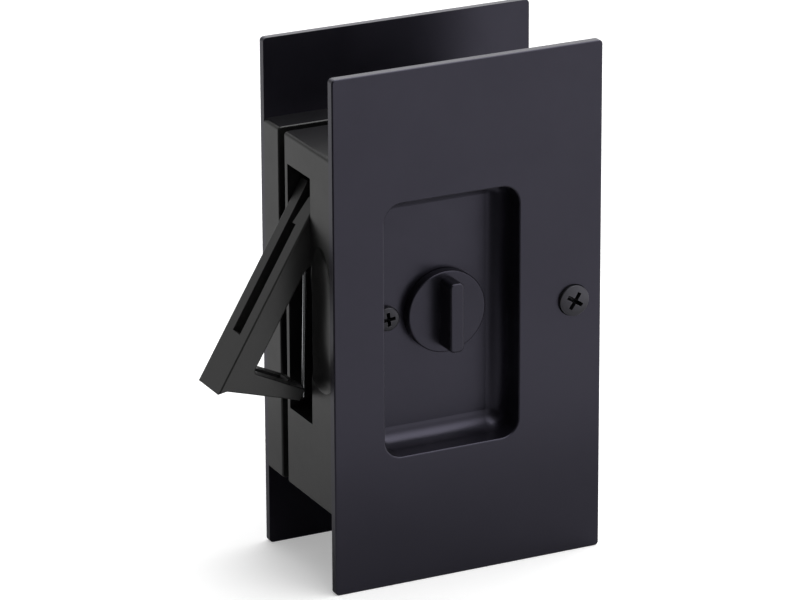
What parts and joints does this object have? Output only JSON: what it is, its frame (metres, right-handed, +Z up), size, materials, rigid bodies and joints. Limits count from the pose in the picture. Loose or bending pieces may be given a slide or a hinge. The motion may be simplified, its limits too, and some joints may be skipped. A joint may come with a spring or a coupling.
{
  "type": "pocket door lock",
  "caption": "Pocket door privacy lock with recessed finger cups, a thumbturn, a sprung edge pull and a hook bolt.",
  "frame": {"origin": "middle of the trim plates and of the door's thickness, in the notch that the case fills", "axes": "+Z up the plates, +X into the door away from its edge, +Y through the door to its back face"},
  "size_m": [0.0938, 0.0401, 0.127],
  "materials": {
    "trim_black": "matte black coating on pressed steel",
    "case_black": "matte black coating on die-cast metal",
    "turn_black": "matte black coating",
    "screw_black": "satin black screw",
    "bright_steel": "plain zinc-plated steel",
    "spring_steel": "bright drawn wire",
    "hub_zinc": "bare cast metal",
    "bush_nylon": "black nylon"
  },
  "bodies": {
    "lock_body": {"front_plate": "trim_black", "back_plate": "trim_black", "front_case": "case_black", "back_case": "case_black", "pull_pin": "bright_steel", "pivot_post": "bright_steel", "detent_leaf": "spring_steel", "knob_washer": "bush_nylon", "coin_washer": "bush_nylon", "near_screw": "screw_black", "far_screw": "screw_black", "far_post": "bright_steel", "case_screws": "bright_steel"},
    "edge_pull": {"edge_pull": "case_black", "spring_bush": "bush_nylon", "pull_spring": "spring_steel"},
    "hook": {"hook_bolt": "bright_steel"},
    "turn": {"turn_knob": "turn_black", "turn_hub": "hub_zinc", "spindle": "bright_steel", "knob_clip": "spring_steel", "coin_clip": "spring_steel", "coin_turn": "turn_black"}
  },
  "joints": [
    {"name": "pull_hinge", "type": "hinge", "parent": "lock_body", "child": "edge_pull", "pos_m": [-0.0298, 0, 0.026], "axis": [0, -1, 0], "range_deg": [0, 30.5], "stiffness_Nm_per_rad": 0.01, "springref_deg": -57.3, "deforming": ["pull_spring"]},
    {"name": "turn_hinge", "type": "hinge", "parent": "lock_body", "child": "turn", "pos_m": [-0.0025, 0, 0.0004], "axis": [0, 1, 0], "range_deg": [0, 90]},
    {"name": "hook_hinge", "type": "hinge", "parent": "lock_body", "child": "hook", "pos_m": [-0.0172, 0, 0.0004], "axis": [0, 1, 0], "range_deg": [-90, 0]}
  ],
  "couplings": [
    {"joint": "hook_hinge", "follows": "turn_hinge", "ratio": -1}
  ]
}
